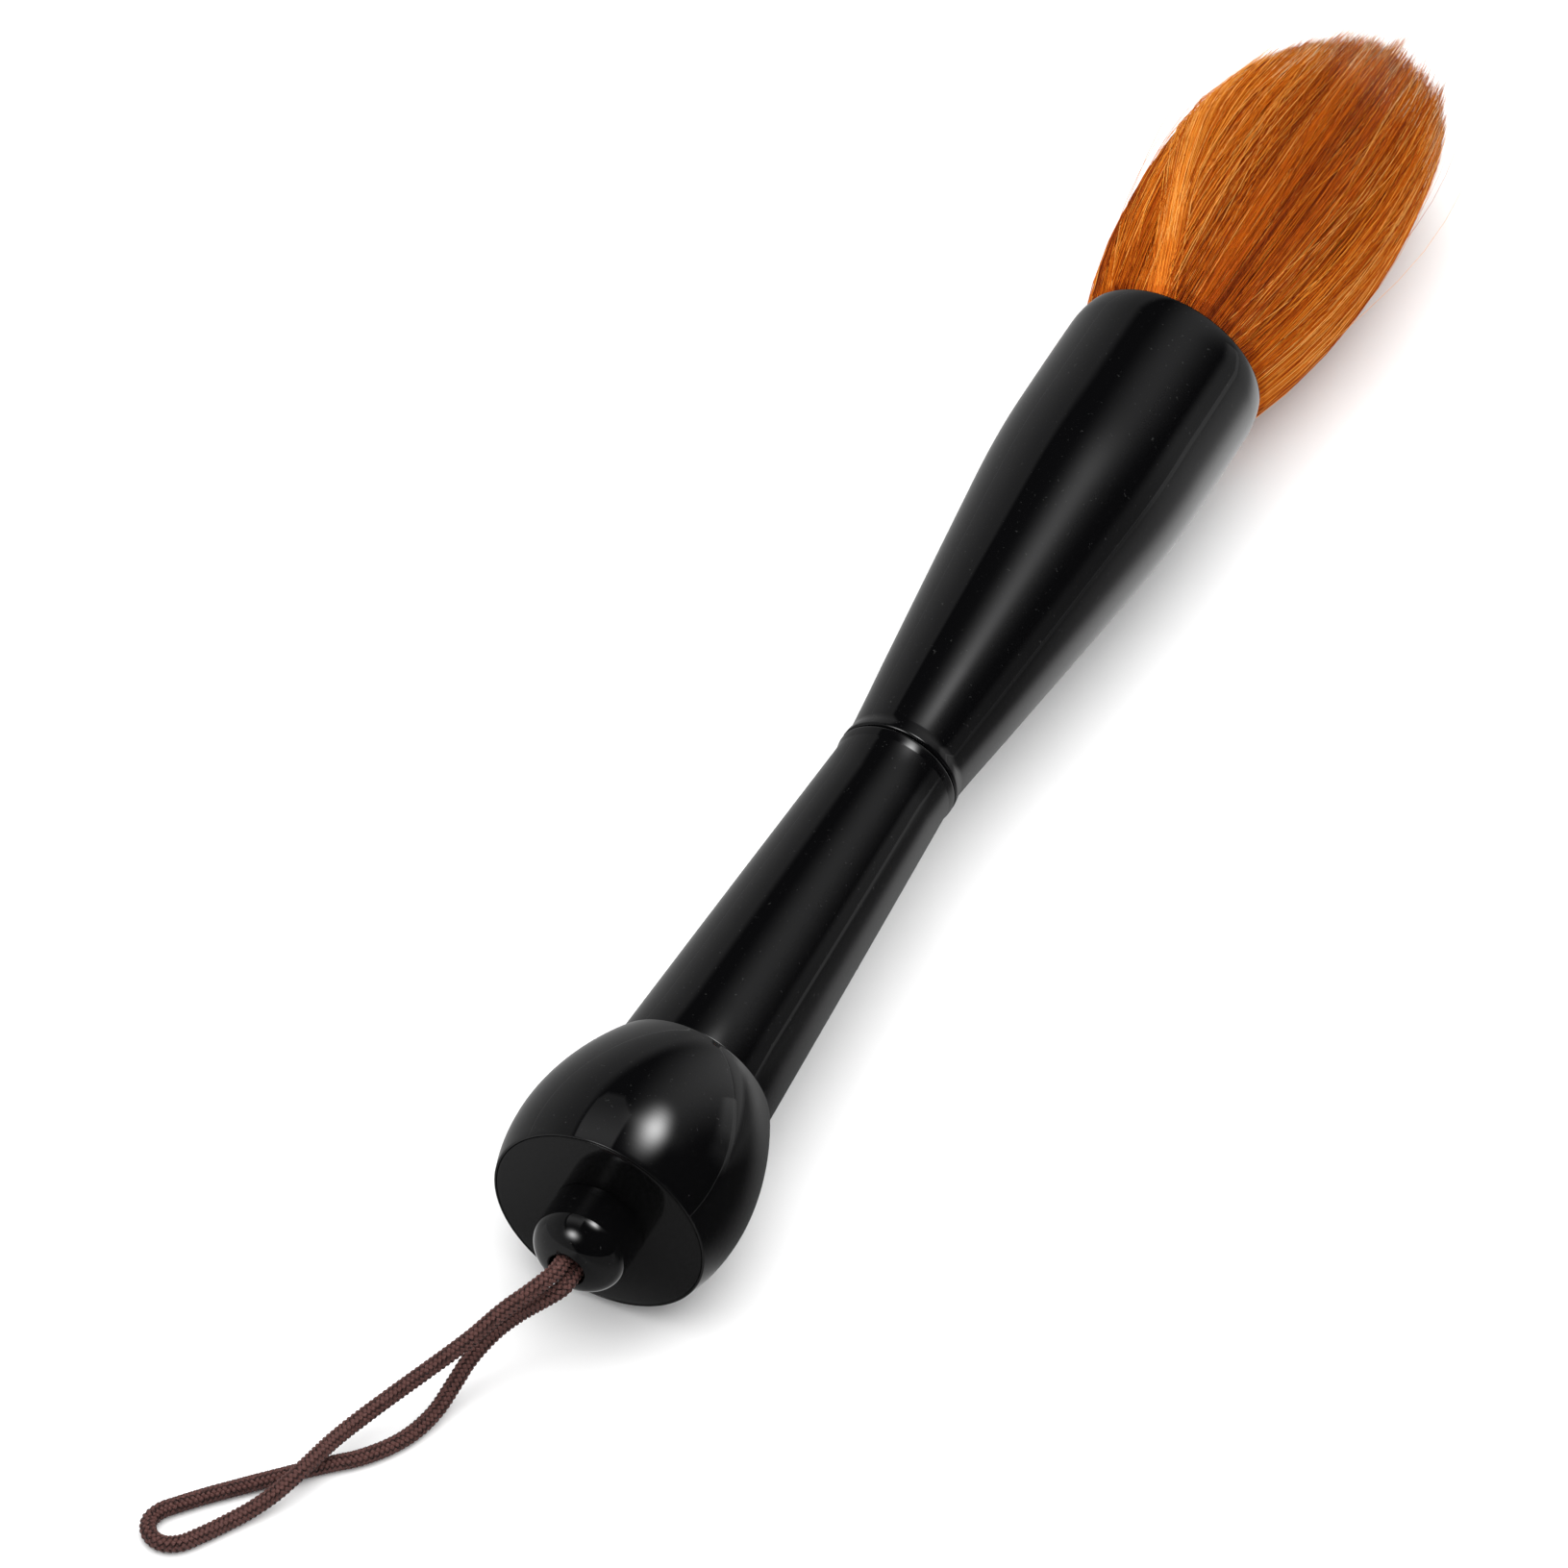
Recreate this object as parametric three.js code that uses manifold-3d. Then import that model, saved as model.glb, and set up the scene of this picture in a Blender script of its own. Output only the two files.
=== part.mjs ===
// A large calligraphy brush lying on a table: a hair tuft glued into a turned head cup, a tapered
// handle dowelled to the cup, a hollow bulb at the butt closed by a disc, and a pierced peg that
// carries a braided hanging loop.
// Millimetres, +Z up. The brush's axis runs along +Y, from the butt disc (y = 0 while building) to
// the tip of the tuft. At the end the whole brush is moved so that the origin is the centre of the
// base of its box, with the cord left out.

import * as THREE from 'three';
import { mergeVertices } from 'three/addons/utils/BufferGeometryUtils.js';
import Module from 'manifold-3d';

const wasm = await Module();
wasm.setup();

// ---------------------------------------------------------------- driving dimensions, mm

const GAP = 0.3; // glue line and running clearance between neighbours

// Round pieces are regular prisms that stand on a flat. The two that the brush lies on have few
// enough sides to rest on without rolling.
const REST_SIDES = 24;
const FINE_SIDES = 36;
const SMALL_SIDES = 24;

// Half the length of the straight band at the widest place of the bulb and of the tuft. The flat
// under it is what the brush stands on.
const REST_BAND = 1.5;

// Bulb at the butt
const BULB_RADIUS = 19.3;
const BULB_WIDEST_Y = 10;
const BULB_LENGTH = 30;
const BULB_MOUTH_RADIUS = 17.75;
const BULB_NECK_RADIUS = 13.75;
const BULB_BORE_RADIUS = 9;

// Butt disc, let into the bulb's mouth
const DISC_RADIUS = 17.1;
const DISC_THICKNESS = 2.6;

// Hanging peg
const PEG_RADIUS = 7.6;
const PEG_STANDS = 6.1;
const DOME_HEIGHT = 5.3;
const SHANK_RADIUS = 5;
const SHANK_END_Y = 5.2;
const CORD_HOLE_RADIUS = 3;

// Handle
const HANDLE_BUTT_RADIUS = 13.25;
const HANDLE_NECK_RADIUS = 9.72;
const TENON_RADIUS = BULB_BORE_RADIUS - GAP;
const TENON_START_Y = 17;

// Neck joint: a rounded lip each side of a groove
const NECK_Y = 100;
const LIP_WIDTH = 1.3;
const LIP_RISE = 0.22;
const GROOVE_RADIUS = 9.15;

// Dowel across the neck joint
const DOWEL_RADIUS = 5;
const DOWEL_REACH = 16;

// Head cup
const CUP_MOUTH_Y = 192.4;
const CUP_RADIUS = 16.06;
const CUP_WIDEST_Y = 171;
const CUP_MOUTH_RADIUS = 15.2;
const CUP_RIM = 0.5;
const SOCKET_BOTTOM_Y = 164.2;
const SOCKET_BOTTOM_RADIUS = 13.3;

// Tuft
const TUFT_RADIUS = 19.3;
const TUFT_WIDEST_Y = 224;
const TUFT_TIP_Y = 261;
const ROOT_Y = 167.4;
const ROOT_RADIUS = 12.1;
const BINDING_END_Y = 173.4;
const CORE_ROOT_RADIUS = 7.4;
const CORE_RADIUS = 12.6;
const CORE_TIP_Y = 251;

// Root fittings
const RESIN_RADIUS = 12.8;
const RESIN_THICKNESS = 2.5;
const BINDING_TURNS = 5;
const BINDING_THREAD = 1;

// Hanging cord
const CORD_DIAMETER = 2.75;
const CORD_SIDES = 8;
const CORD_STEPS = 66;
const KNOT_RADIUS = 4.2;
const KNOT_Y = 10;

// The axis lies one bulb radius above the table.
const AXIS_HEIGHT = BULB_RADIUS;

// ---------------------------------------------------------------- materials

const finish = (color, roughness, metalness = 0) => ({ color, roughness, metalness });

const FINISHES = {
  lacquer: finish(0x0b0b0c, 0.12),
  satin: finish(0x2b2b2c, 0.45),
  wood: finish(0x9a7446, 0.7),
  hair: finish(0xb9631f, 0.75),
  core_hair: finish(0xc98a48, 0.75),
  thread: finish(0xd8cdb4, 0.85),
  resin: finish(0x4a2c12, 0.35),
  cord: finish(0x2c1a17, 0.8),
};

// ---------------------------------------------------------------- helpers

// A named mesh with a material of its own.
function piece(name, geometry, kind) {
  const mesh = new THREE.Mesh(geometry, new THREE.MeshStandardMaterial(FINISHES[kind]));
  mesh.name = name;
  return mesh;
}

// An outline (x = radius, y = along the axis) turned about the Y axis. The prism's flats, not its
// corners, lie at the outline's radius, and one flat faces down.
function revolve(outline, sides, divisions = 6) {
  const corner = 1 / Math.cos(Math.PI / sides);
  const points = outline.getPoints(divisions).map((p) => new THREE.Vector2(p.x * corner, p.y));
  return new THREE.LatheGeometry(points, sides, Math.PI / sides);
}

// An outline that starts at a point of the (radius, y) plane.
function outlineFrom(radius, y) {
  const outline = new THREE.Path();
  outline.moveTo(radius, y);
  return outline;
}

// A closed three.js geometry as a manifold solid.
function toSolid(geometry) {
  const bare = geometry.clone();
  bare.deleteAttribute('normal');
  bare.deleteAttribute('uv');
  const merged = mergeVertices(bare, 1e-4);
  return new wasm.Manifold(new wasm.Mesh({
    numProp: 3,
    vertProperties: new Float32Array(merged.attributes.position.array),
    triVerts: new Uint32Array(merged.index.array),
  }));
}

// A manifold solid as a three.js geometry.
function toGeometry(solid) {
  const mesh = solid.getMesh();
  const geometry = new THREE.BufferGeometry();
  geometry.setAttribute('position', new THREE.BufferAttribute(new Float32Array(mesh.vertProperties), 3));
  geometry.setIndex(new THREE.BufferAttribute(new Uint32Array(mesh.triVerts), 1));
  geometry.computeVertexNormals();
  return geometry;
}

// ---------------------------------------------------------------- tuft

// Outer hair: a thick skin, open at the root, that swells above the cup and closes at the tip.
function hairCover() {
  const outline = outlineFrom(CORE_ROOT_RADIUS + GAP, ROOT_Y);
  outline.lineTo(ROOT_RADIUS, ROOT_Y);
  outline.lineTo(ROOT_RADIUS, BINDING_END_Y);
  outline.lineTo(CUP_MOUTH_RADIUS - CUP_RIM - GAP, CUP_MOUTH_Y);
  outline.bezierCurveTo(17.6, 200, TUFT_RADIUS, 210, TUFT_RADIUS, TUFT_WIDEST_Y - REST_BAND);
  outline.lineTo(TUFT_RADIUS, TUFT_WIDEST_Y + REST_BAND);
  outline.bezierCurveTo(TUFT_RADIUS, 238, 15.5, 250, 8, 257);
  outline.quadraticCurveTo(4, TUFT_TIP_Y, 0, TUFT_TIP_Y);
  outline.lineTo(0, CORE_TIP_Y + GAP);
  outline.bezierCurveTo(7, CORE_TIP_Y, CORE_RADIUS + GAP, 240, CORE_RADIUS + GAP, TUFT_WIDEST_Y);
  outline.bezierCurveTo(CORE_RADIUS + GAP, 205, 9, 190, CORE_ROOT_RADIUS + GAP, ROOT_Y);
  return piece('hair_cover', revolve(outline, REST_SIDES), 'hair');
}

// Core hair: the stiffer bundle that the outer hair is wrapped round.
function hairCore() {
  const outline = outlineFrom(0, ROOT_Y);
  outline.lineTo(CORE_ROOT_RADIUS, ROOT_Y);
  outline.bezierCurveTo(9 - GAP, 190, CORE_RADIUS, 205, CORE_RADIUS, TUFT_WIDEST_Y);
  outline.bezierCurveTo(CORE_RADIUS, 240, 7 - GAP, CORE_TIP_Y - GAP, 0, CORE_TIP_Y - GAP);
  return piece('hair_core', revolve(outline, REST_SIDES), 'core_hair');
}

// Binding thread: turns side by side round the root, drawn as one ribbed ring.
function rootBinding() {
  const inner = ROOT_RADIUS + GAP;
  const outline = outlineFrom(inner, ROOT_Y);
  for (let turn = 0; turn < BINDING_TURNS; turn += 1) {
    const start = ROOT_Y + turn * BINDING_THREAD;
    outline.lineTo(inner + BINDING_THREAD * 0.4, start);
    outline.lineTo(inner + BINDING_THREAD * 0.8, start + BINDING_THREAD / 2);
  }
  const end = ROOT_Y + BINDING_TURNS * BINDING_THREAD;
  outline.lineTo(inner + BINDING_THREAD * 0.4, end);
  outline.lineTo(inner, end);
  outline.lineTo(inner, ROOT_Y);
  return piece('root_binding', revolve(outline, SMALL_SIDES), 'thread');
}

// Resin disc: the root of the tuft, dipped and hardened, that is glued to the socket's bottom.
function rootResinDisc() {
  const top = ROOT_Y - GAP;
  const bottom = top - RESIN_THICKNESS;
  const outline = outlineFrom(0, bottom);
  outline.lineTo(RESIN_RADIUS - 0.6, bottom);
  outline.lineTo(RESIN_RADIUS, bottom + 0.6);
  outline.lineTo(RESIN_RADIUS, top);
  outline.lineTo(0, top);
  return piece('root_resin_disc', revolve(outline, SMALL_SIDES), 'resin');
}

// ---------------------------------------------------------------- head cup, dowel and handle

// Head cup: a trumpet with a socket for the tuft above and a dowel hole below.
function headCup() {
  const neck = NECK_Y + GAP / 2;
  const lip = HANDLE_NECK_RADIUS + LIP_RISE;
  const outline = outlineFrom(DOWEL_RADIUS + GAP, neck);
  outline.lineTo(GROOVE_RADIUS, neck);
  outline.quadraticCurveTo(lip + 0.1, neck + 0.05, lip, neck + LIP_WIDTH / 2);
  outline.quadraticCurveTo(lip - 0.1, neck + LIP_WIDTH, HANDLE_NECK_RADIUS - 0.12, neck + LIP_WIDTH + 0.7);
  outline.quadraticCurveTo(9.75, 104.6, 11.05, 116);
  outline.lineTo(15.1, 154.5);
  outline.quadraticCurveTo(CUP_RADIUS, 163.5, CUP_RADIUS, CUP_WIDEST_Y);
  outline.quadraticCurveTo(CUP_RADIUS, 181, 15.95, 188.4);
  outline.quadraticCurveTo(15.8, 191.2, CUP_MOUTH_RADIUS, CUP_MOUTH_Y);
  outline.lineTo(CUP_MOUTH_RADIUS - CUP_RIM, CUP_MOUTH_Y - 0.2);
  outline.lineTo(SOCKET_BOTTOM_RADIUS + 0.45, BINDING_END_Y + 1.6);
  outline.lineTo(SOCKET_BOTTOM_RADIUS, SOCKET_BOTTOM_Y);
  outline.lineTo(0, SOCKET_BOTTOM_Y);
  outline.lineTo(0, NECK_Y + DOWEL_REACH + GAP);
  outline.lineTo(DOWEL_RADIUS + GAP, NECK_Y + DOWEL_REACH + GAP);
  outline.lineTo(DOWEL_RADIUS + GAP, neck);
  return piece('head_cup', revolve(outline, FINE_SIDES, 4), 'lacquer');
}

// Dowel: a chamfered wooden peg glued half in the handle and half in the cup.
function neckDowel() {
  const chamfer = 0.8;
  const start = NECK_Y - DOWEL_REACH;
  const end = NECK_Y + DOWEL_REACH;
  const outline = outlineFrom(0, start);
  outline.lineTo(DOWEL_RADIUS - chamfer, start);
  outline.lineTo(DOWEL_RADIUS, start + chamfer);
  outline.lineTo(DOWEL_RADIUS, end - chamfer);
  outline.lineTo(DOWEL_RADIUS - chamfer, end);
  outline.lineTo(0, end);
  return piece('neck_dowel', revolve(outline, SMALL_SIDES), 'wood');
}

// Handle: a straight taper with a tenon into the bulb and a blind hole for the dowel.
function handle() {
  const shoulder = BULB_LENGTH + GAP;
  const neck = NECK_Y - GAP / 2;
  const lip = HANDLE_NECK_RADIUS + LIP_RISE;
  const outline = outlineFrom(0, TENON_START_Y);
  outline.lineTo(TENON_RADIUS - 0.7, TENON_START_Y);
  outline.lineTo(TENON_RADIUS, TENON_START_Y + 0.7);
  outline.lineTo(TENON_RADIUS, shoulder);
  outline.lineTo(HANDLE_BUTT_RADIUS, shoulder);
  outline.lineTo(HANDLE_NECK_RADIUS + 0.05, neck - LIP_WIDTH - 0.6);
  outline.quadraticCurveTo(lip - 0.05, neck - LIP_WIDTH, lip, neck - LIP_WIDTH / 2);
  outline.quadraticCurveTo(lip + 0.1, neck - 0.05, GROOVE_RADIUS, neck);
  outline.lineTo(DOWEL_RADIUS + GAP, neck);
  outline.lineTo(DOWEL_RADIUS + GAP, NECK_Y - DOWEL_REACH - GAP);
  outline.lineTo(0, NECK_Y - DOWEL_REACH - GAP);
  return piece('handle', revolve(outline, FINE_SIDES, 4), 'lacquer');
}

// ---------------------------------------------------------------- bulb, disc and peg

// Bulb: an egg cut off flat, bored through for the handle's tenon, with a seat for the disc.
function bulb() {
  const seat = DISC_THICKNESS + GAP;
  const outline = outlineFrom(DISC_RADIUS + GAP, 0);
  outline.lineTo(BULB_MOUTH_RADIUS - 0.1, 0);
  outline.lineTo(BULB_MOUTH_RADIUS, 0.15);
  outline.bezierCurveTo(18.8, 3.2, BULB_RADIUS, 6.2, BULB_RADIUS, BULB_WIDEST_Y - REST_BAND);
  outline.lineTo(BULB_RADIUS, BULB_WIDEST_Y + REST_BAND);
  outline.bezierCurveTo(BULB_RADIUS, 16.3, 17.3, 23.3, BULB_NECK_RADIUS, BULB_LENGTH);
  outline.lineTo(BULB_BORE_RADIUS, BULB_LENGTH);
  outline.lineTo(BULB_BORE_RADIUS, seat);
  outline.lineTo(DISC_RADIUS + GAP, seat);
  outline.lineTo(DISC_RADIUS + GAP, 0);
  return piece('bulb', revolve(outline, REST_SIDES, 6), 'lacquer');
}

// Butt disc: closes the bulb and carries the peg in its hole.
function endDisc() {
  const hole = SHANK_RADIUS + GAP;
  const outline = outlineFrom(hole, 0);
  outline.lineTo(DISC_RADIUS, 0);
  outline.lineTo(DISC_RADIUS, DISC_THICKNESS);
  outline.lineTo(hole, DISC_THICKNESS);
  outline.lineTo(hole, 0);
  return piece('end_disc', revolve(outline, REST_SIDES), 'satin');
}

// Hanging peg: a domed collar on a shank, bored along its axis for the cord.
function hangingPeg() {
  const shoulder = -PEG_STANDS;
  const holeShare = CORD_HOLE_RADIUS / PEG_RADIUS;
  const rimY = shoulder - DOME_HEIGHT * Math.sqrt(1 - holeShare * holeShare);
  const outline = outlineFrom(CORD_HOLE_RADIUS, SHANK_END_Y);
  outline.lineTo(CORD_HOLE_RADIUS, rimY);
  outline.absellipse(0, shoulder, PEG_RADIUS, DOME_HEIGHT, -Math.acos(holeShare), 0, false, 0);
  outline.lineTo(PEG_RADIUS, -GAP);
  outline.lineTo(SHANK_RADIUS, -GAP);
  outline.lineTo(SHANK_RADIUS, SHANK_END_Y);
  outline.lineTo(CORD_HOLE_RADIUS, SHANK_END_Y);
  return piece('hanging_peg', revolve(outline, SMALL_SIDES, 7), 'lacquer');
}

// ---------------------------------------------------------------- cord

// The two ends of the loop side by side in the peg's hole: the upper and the lower one, as (x, z)
// from the brush's axis.
const UPPER_END = [-0.8, 1.1];
const LOWER_END = [0.9, -1.2];

// Where the cord's own line starts, just clear of the dome.
const CORD_EXIT_Y = -11.4;

// The loop's centreline, from the upper end round to the lower one: x, y from the butt disc's
// face, and height above the table. It passes over itself once.
const CORD_ROUTE = [
  [UPPER_END[0], CORD_EXIT_Y, AXIS_HEIGHT + UPPER_END[1]],
  [-0.9, -12.8, 20.4],
  [-2.3, -16.4, 19.8],
  [-5.3, -21.0, 17.8],
  [-8.8, -25.9, 14.2],
  [-13.3, -30.6, 9.8],
  [-17.1, -34.9, 6.4],
  [-19.9, -39.8, 4.7],
  [-21.8, -45.2, 4.3],
  [-22.9, -50.7, 4.5],
  [-24.0, -54.6, 4.1],
  [-25.5, -57.9, 3.0],
  [-27.6, -61.4, 1.9],
  [-30.0, -65.2, 1.45],
  [-32.2, -68.8, 1.4],
  [-34.4, -71.8, 1.4],
  [-36.8, -73.0, 1.4],
  [-39.2, -72.3, 1.4],
  [-40.5, -70.0, 1.4],
  [-39.9, -67.4, 1.4],
  [-38.2, -65.2, 1.4],
  [-36.3, -63.0, 1.4],
  [-34.3, -60.8, 1.4],
  [-31.8, -58.2, 1.4],
  [-28.7, -55.0, 1.4],
  [-24.6, -50.9, 1.4],
  [-21.2, -47.6, 1.4],
  [-18.4, -45.1, 1.4],
  [-15.9, -42.1, 1.4],
  [-14.0, -39.0, 1.4],
  [-12.6, -35.6, 1.5],
  [-11.5, -31.4, 2.2],
  [-10.9, -26.9, 3.8],
  [-10.1, -22.9, 6.0],
  [-8.0, -19.3, 9.2],
  [-5.2, -16.9, 12.4],
  [-2.0, -15.4, 15.6],
  [0.3, -13.7, 17.6],
  [0.8, -12.6, 18.0],
  [LOWER_END[0], CORD_EXIT_Y, AXIS_HEIGHT + LOWER_END[1]],
];

// A cord's section with its flats at the cord's radius.
function cordSection() {
  const radius = CORD_DIAMETER / 2 - 0.05;
  const section = new THREE.Shape();
  for (let side = 0; side < CORD_SIDES; side += 1) {
    const angle = (2 * Math.PI * (side + 0.5)) / CORD_SIDES;
    const x = radius * Math.cos(angle);
    const y = radius * Math.sin(angle);
    if (side === 0) section.moveTo(x, y);
    else section.lineTo(x, y);
  }
  section.closePath();
  return section;
}

// Free part of the loop, lying on the table.
function cordLoop() {
  const route = new THREE.CatmullRomCurve3(CORD_ROUTE.map(([x, y, z]) => new THREE.Vector3(x, y, z)));
  const geometry = new THREE.ExtrudeGeometry(cordSection(), {
    steps: CORD_STEPS,
    extrudePath: route,
  });
  return piece('cord_loop', geometry, 'cord');
}

// Hidden part of the cord: both ends in the peg's hole, knotted together behind its shank.
function cordKnot() {
  const start = CORD_EXIT_Y + GAP;
  const length = KNOT_Y - start;
  let solid = toSolid(new THREE.SphereGeometry(KNOT_RADIUS, 16, 10)).translate(0, KNOT_Y, 0);
  for (const [x, z] of [UPPER_END, LOWER_END]) {
    const strand = new THREE.ExtrudeGeometry(cordSection(), {
      depth: length,
      bevelEnabled: false,
    });
    strand.rotateX(-Math.PI / 2);
    solid = solid.add(toSolid(strand).translate(x, start, z));
  }
  return piece('cord_knot', toGeometry(solid), 'cord');
}

// ---------------------------------------------------------------- assembly

const brush = new THREE.Group();
brush.position.z = AXIS_HEIGHT;
brush.add(hairCover(), hairCore(), rootBinding(), rootResinDisc());
brush.add(headCup(), neckDowel(), handle());
brush.add(bulb(), endDisc(), hangingPeg());

const brushOnTable = new THREE.Group();
brushOnTable.add(brush);
const middle = new THREE.Box3().setFromObject(brushOnTable).getCenter(new THREE.Vector3());

const knot = cordKnot();
brush.add(knot);
brushOnTable.add(cordLoop());

const part = new THREE.Group();
brushOnTable.position.y = -middle.y;
part.add(brushOnTable);

export default part;
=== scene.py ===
import math

import bpy
import numpy as np
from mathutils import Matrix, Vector


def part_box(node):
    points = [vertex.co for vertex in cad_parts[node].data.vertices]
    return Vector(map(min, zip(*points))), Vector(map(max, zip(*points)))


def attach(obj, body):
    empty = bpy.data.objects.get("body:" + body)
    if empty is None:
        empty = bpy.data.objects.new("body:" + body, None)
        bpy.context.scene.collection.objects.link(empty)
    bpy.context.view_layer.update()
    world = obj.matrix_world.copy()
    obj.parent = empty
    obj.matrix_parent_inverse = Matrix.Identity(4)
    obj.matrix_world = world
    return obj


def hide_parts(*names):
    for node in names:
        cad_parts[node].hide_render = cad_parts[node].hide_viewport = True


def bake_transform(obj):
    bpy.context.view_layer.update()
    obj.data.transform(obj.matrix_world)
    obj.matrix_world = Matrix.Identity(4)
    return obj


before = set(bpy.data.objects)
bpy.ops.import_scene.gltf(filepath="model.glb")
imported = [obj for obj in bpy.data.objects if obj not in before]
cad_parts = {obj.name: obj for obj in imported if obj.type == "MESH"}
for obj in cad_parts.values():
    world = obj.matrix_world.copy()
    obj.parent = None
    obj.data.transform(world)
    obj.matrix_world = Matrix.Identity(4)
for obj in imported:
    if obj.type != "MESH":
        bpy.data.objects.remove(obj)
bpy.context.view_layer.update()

# A large calligraphy brush lying on a pale floor. Lengths below are in millimetres along the
# brush's axis, measured from the face of the butt disc, and place() turns them into metres in
# the frame. Radii are from the axis.

MM = 0.001
BUTT_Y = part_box("end_disc")[0].y
AXIS_Z = (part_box("head_cup")[0].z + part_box("head_cup")[1].z) / 2
BRUSH, LOOP = "brush", "hanging_loop"
RNG = np.random.default_rng(7)


def place(points):
    """Points (x, along the axis, height above the axis) in mm, as metres in the frame."""
    moved = np.asarray(points, float) * MM
    return moved + np.array([0.0, BUTT_Y, AXIS_Z])


# ------------------------------------------------------------------ camera

AZIMUTH, ELEVATION = math.radians(26.8), math.radians(49.2)
FIELD_MM = 236.5  # what the picture's width spans at the brush
LENS, SENSOR = 1600.0, 36.0  # very long, since the perspective is almost flat
AIM_RIGHT, AIM_UP = 27.91, 65.85  # the picture's centre, from the middle of the disc's face


def make_camera():
    """The camera, placed far enough off for the field to fill its lens."""
    right = Vector((math.cos(AZIMUTH), math.sin(AZIMUTH), 0.0))
    back = Vector(
        (
            math.sin(AZIMUTH) * math.cos(ELEVATION),
            -math.cos(AZIMUTH) * math.cos(ELEVATION),
            math.sin(ELEVATION),
        )
    )
    up = back.cross(right)
    aim = Vector((0.0, BUTT_Y, AXIS_Z)) + (right * AIM_RIGHT + up * AIM_UP) * MM
    data = bpy.data.cameras.new("camera")
    data.sensor_width = SENSOR
    data.lens = LENS
    distance = FIELD_MM * MM * LENS / SENSOR
    data.clip_start = distance * 0.1
    data.clip_end = distance * 10
    camera = bpy.data.objects.new("camera", data)
    camera.location = aim + back * distance
    camera.rotation_euler = back.to_track_quat("Z", "Y").to_euler()
    bpy.context.collection.objects.link(camera)
    bpy.context.scene.camera = camera


# ------------------------------------------------------------------ materials


def new_material(name, color, roughness, **sockets):
    """A Principled material with plain numbers on its own sockets, its tree and its shader."""
    material = bpy.data.materials.new(name)
    material.use_nodes = True
    tree = material.node_tree
    shader = tree.nodes["Principled BSDF"]
    shader.inputs["Base Color"].default_value = (*color, 1.0)
    shader.inputs["Roughness"].default_value = roughness
    for socket, value in sockets.items():
        shader.inputs[socket.replace("_", " ")].default_value = value
    return material, tree, shader


def coordinates(tree, stretch=(1.0, 1.0, 1.0)):
    """Object coordinates, stretched, as a socket."""
    source = tree.nodes.new("ShaderNodeTexCoord")
    mapping = tree.nodes.new("ShaderNodeMapping")
    mapping.inputs["Scale"].default_value = stretch
    tree.links.new(source.outputs["Object"], mapping.inputs["Vector"])
    return mapping.outputs["Vector"]


def axes(tree, vector):
    """The x, y and z of a vector socket."""
    split = tree.nodes.new("ShaderNodeSeparateXYZ")
    tree.links.new(vector, split.inputs["Vector"])
    return split.outputs["X"], split.outputs["Y"], split.outputs["Z"]


def vector_math(tree, operation, vector, *operand):
    """A Vector Math node on a vector socket and, where it takes one, a triple of numbers."""
    node = tree.nodes.new("ShaderNodeVectorMath")
    node.operation = operation
    tree.links.new(vector, node.inputs[0])
    for triple in operand:
        node.inputs[1].default_value = triple
    return node.outputs["Value" if operation == "LENGTH" else "Vector"]


def noise(tree, vector, scale, detail=2.0, roughness=0.5):
    node = tree.nodes.new("ShaderNodeTexNoise")
    node.inputs["Scale"].default_value = scale
    node.inputs["Detail"].default_value = detail
    node.inputs["Roughness"].default_value = roughness
    tree.links.new(vector, node.inputs["Vector"])
    return node.outputs["Fac"]


def to_range(tree, value, low, high, start=0.0, end=1.0, smooth=False):
    """value from start..end, spread over low..high."""
    node = tree.nodes.new("ShaderNodeMapRange")
    node.inputs["From Min"].default_value = start
    node.inputs["From Max"].default_value = end
    node.inputs["To Min"].default_value = low
    node.inputs["To Max"].default_value = high
    if smooth:
        node.interpolation_type = "SMOOTHSTEP"
    tree.links.new(value, node.inputs["Value"])
    return node.outputs["Result"]


def calculate(tree, operation, *values):
    """A Math node on numbers or sockets. ADD, MULTIPLY and MINIMUM take any number of them."""
    total = values[0]
    chained = operation in ("ADD", "MULTIPLY", "MINIMUM")
    for others in ([(v,) for v in values[1:]] if chained else [values[1:]]):
        node = tree.nodes.new("ShaderNodeMath")
        node.operation = operation
        for socket, value in zip(node.inputs, (total, *others)):
            if isinstance(value, (int, float)):
                socket.default_value = value
            else:
                tree.links.new(value, socket)
        total = node.outputs["Value"]
    return total


def bell(tree, vector, middle, spread, peak):
    """peak at middle, dying away round it as a bell curve of the given spread each way."""
    away = vector_math(tree, "SUBTRACT", vector, middle)
    scaled = vector_math(tree, "DIVIDE", away, spread)
    square = calculate(tree, "POWER", vector_math(tree, "LENGTH", scaled), 2.0)
    fall = calculate(tree, "EXPONENT", calculate(tree, "MULTIPLY", square, -0.5))
    return calculate(tree, "MULTIPLY", fall, peak)


def bump(tree, shader, height, strength, distance, under=None):
    """Relief on the shader's normal, laid over the relief of another bump if one is given."""
    node = tree.nodes.new("ShaderNodeBump")
    node.inputs["Strength"].default_value = strength
    node.inputs["Distance"].default_value = distance
    tree.links.new(height, node.inputs["Height"])
    if under is not None:
        tree.links.new(under, node.inputs["Normal"])
    tree.links.new(node.outputs["Normal"], shader.inputs["Normal"])
    return node.outputs["Normal"]


def paint(tree, shader, value, stops):
    """The shader's colour, from value through a ramp whose stops are (position, (r, g, b))."""
    node = tree.nodes.new("ShaderNodeValToRGB")
    elements = node.color_ramp.elements
    while len(elements) < len(stops):
        elements.new(0.5)
    for element, (position, color) in zip(elements, stops):
        element.position = position
        element.color = (*color, 1.0)
    tree.links.new(value, node.inputs["Fac"])
    tree.links.new(node.outputs["Color"], shader.inputs["Base Color"])


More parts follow.
